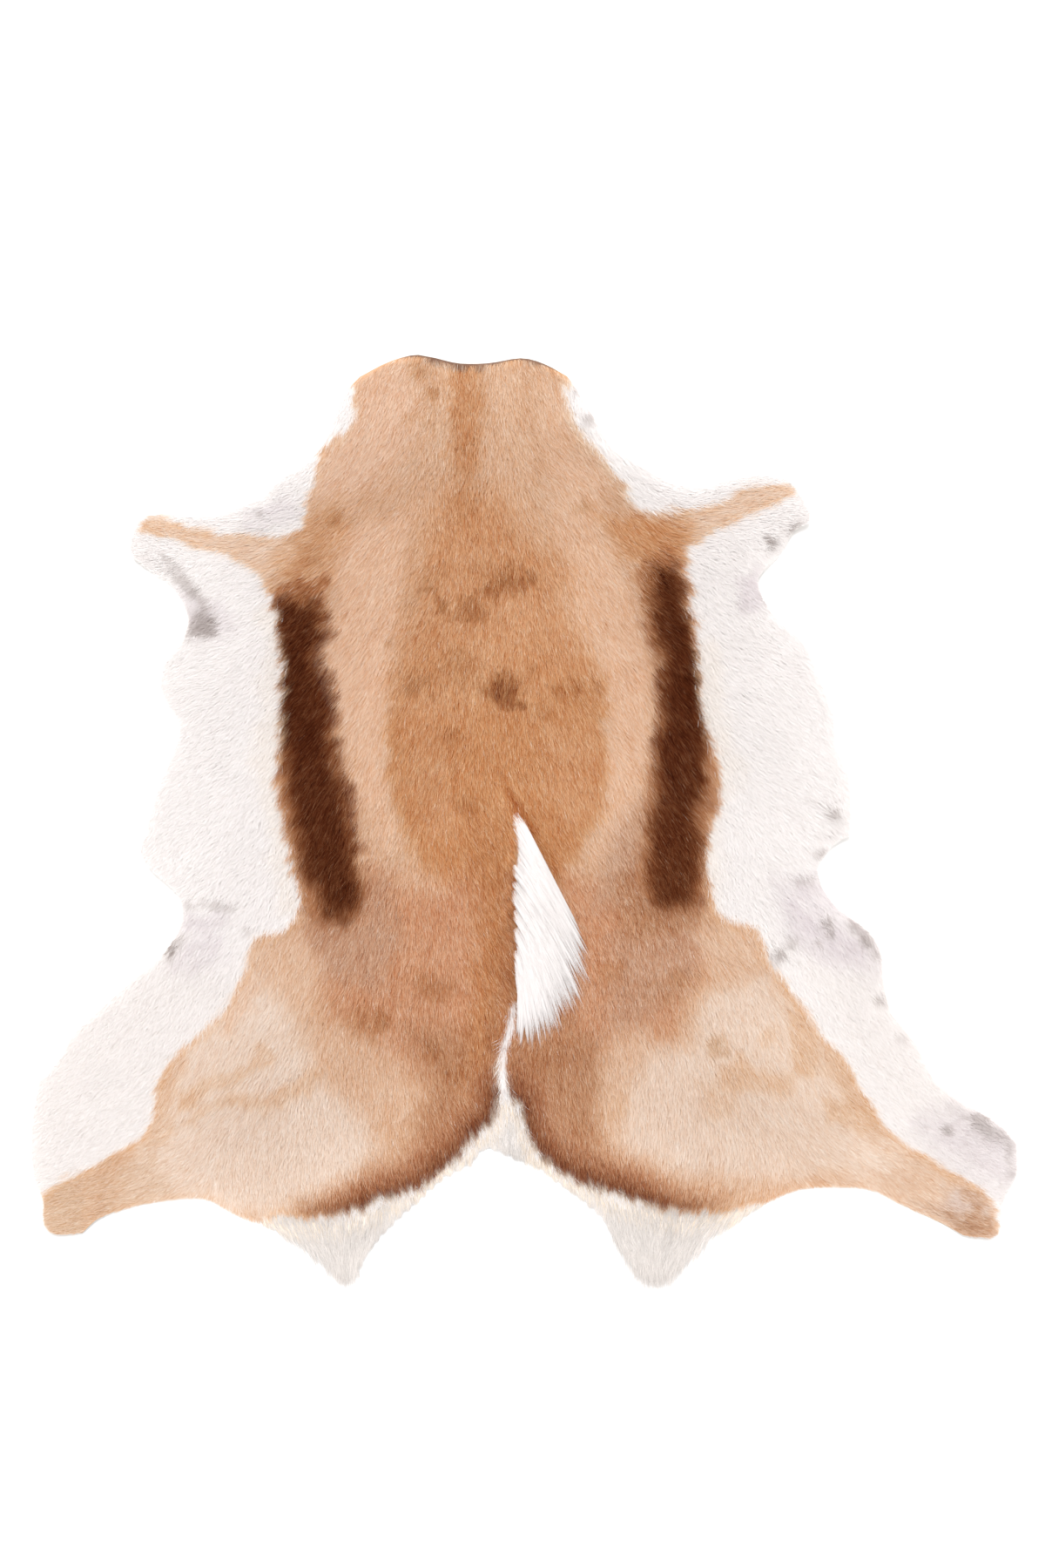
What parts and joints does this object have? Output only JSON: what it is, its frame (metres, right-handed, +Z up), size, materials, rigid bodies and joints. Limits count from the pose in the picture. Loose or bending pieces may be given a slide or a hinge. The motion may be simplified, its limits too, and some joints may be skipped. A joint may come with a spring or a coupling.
{
  "type": "gazelle hide",
  "caption": "Whole tanned gazelle pelt with its hair on, lying flat: tan back, dark flank stripes, white belly, leg skins, a white rump crest and long white hair along the rump edge.",
  "frame": {"origin": "on the floor under the middle of the pelt's box", "axes": "+X to the pelt's right seen from above with the neck away, +Y towards the neck, +Z up out of the hair side"},
  "size_m": [0.995, 0.949, 0.0163],
  "materials": {
    "hide": "short tan hair lying flat, soft sheen",
    "white_hair": "white belly, crest and rump hair, soft sheen",
    "dark_hair": "chocolate brown flank hair, soft sheen",
    "suede": "buffed flesh side, matt"
  },
  "bodies": {
    "root": {"hide": "hide"}
  },
  "joints": []
}
